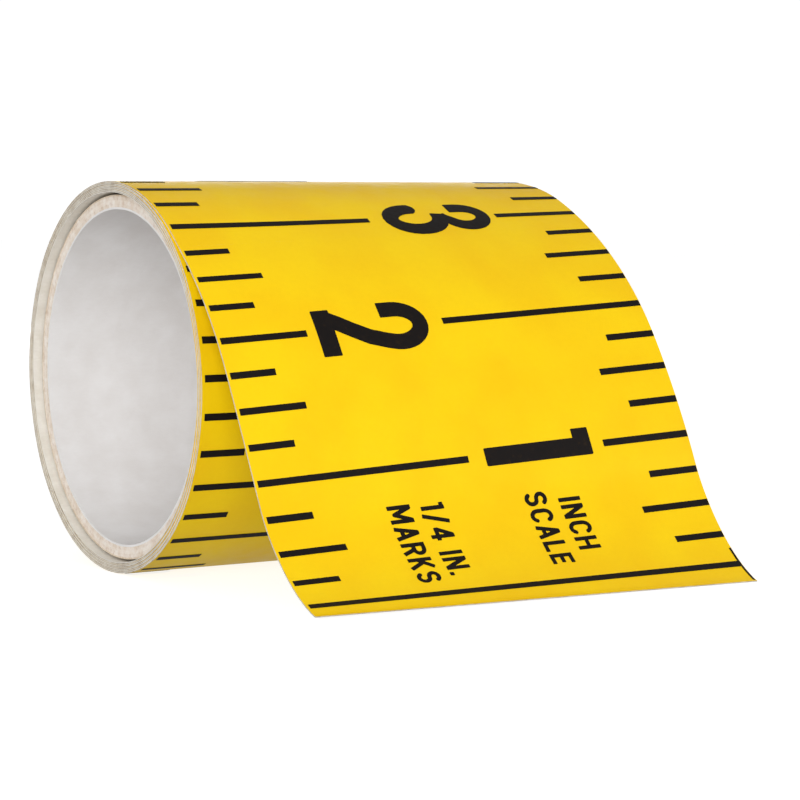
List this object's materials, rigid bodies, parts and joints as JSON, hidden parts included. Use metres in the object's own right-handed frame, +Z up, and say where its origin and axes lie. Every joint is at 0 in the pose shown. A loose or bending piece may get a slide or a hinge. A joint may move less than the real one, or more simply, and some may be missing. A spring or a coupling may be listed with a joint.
{
  "type": "adhesive ruler tape roll",
  "caption": "Roll of wide yellow inch-scale ruler tape with a peel-off paper liner, wound on a paper core and lying on its side, its free end curling down to the table.",
  "frame": {"origin": "middle of the roll's axis, inside the core's bore", "axes": "+X along the roll's axis, +Z up, the free end hangs on the -Y side and meets the table at z = -34 mm"},
  "size_m": [0.0856, 0.1034, 0.0682],
  "materials": {
    "printed_film": "semi-gloss yellow vinyl",
    "release_liner": "smooth siliconed paper",
    "scale_ink": "black printing ink",
    "white_lining": "smooth white paper",
    "grey_board": "grey-brown board",
    "kraft_paper": "brown kraft paper"
  },
  "bodies": {
    "coil": {"coil_printed_film": "printed_film", "coil_release_liner": "release_liner", "coil_scale_marks": "scale_ink", "coil_numerals": "scale_ink"},
    "core": {"core_white_lining": "white_lining", "core_board_ply_1": "grey_board", "core_board_ply_2": "grey_board", "core_board_ply_3": "grey_board", "core_kraft_wrap": "kraft_paper"},
    "upper_free_end": {"upper_film": "printed_film", "upper_release_liner": "release_liner", "upper_print": "scale_ink"},
    "middle_free_end": {"middle_film": "printed_film", "middle_release_liner": "release_liner", "middle_print": "scale_ink"},
    "lower_free_end": {"lower_film": "printed_film", "lower_release_liner": "release_liner", "lower_print": "scale_ink"},
    "peel_tab": {"peel_tab_film": "printed_film", "peel_tab_print": "scale_ink"}
  },
  "joints": [
    {"name": "core_slide", "type": "slide", "parent": "coil", "child": "core", "axis": [1, 0, 0], "range_m": [-0.0016, 0.006]},
    {"name": "upper_bend", "type": "hinge", "parent": "coil", "child": "upper_free_end", "pos_m": [0, -0.02807, 0.02162], "axis": [-1, 0, 0], "range_deg": [-12, 25], "stiffness_Nm_per_rad": 0.03, "springref_deg": 1.49},
    {"name": "middle_bend", "type": "hinge", "parent": "upper_free_end", "child": "middle_free_end", "pos_m": [0, -0.04356, 0.00174], "axis": [-1, 0, 0], "range_deg": [-12, 25]},
    {"name": "lower_bend", "type": "hinge", "parent": "middle_free_end", "child": "lower_free_end", "pos_m": [0, -0.05492, -0.02097], "axis": [-1, 0, 0], "range_deg": [-12, 25]},
    {"name": "film_peel", "type": "hinge", "parent": "lower_free_end", "child": "peel_tab", "pos_m": [0, -0.05884, -0.02598], "axis": [-1, 0, 0], "range_deg": [0, 70]}
  ],
  "couplings": [
    {"joint": "middle_bend", "follows": "upper_bend", "ratio": 1},
    {"joint": "lower_bend", "follows": "upper_bend", "ratio": 1}
  ]
}
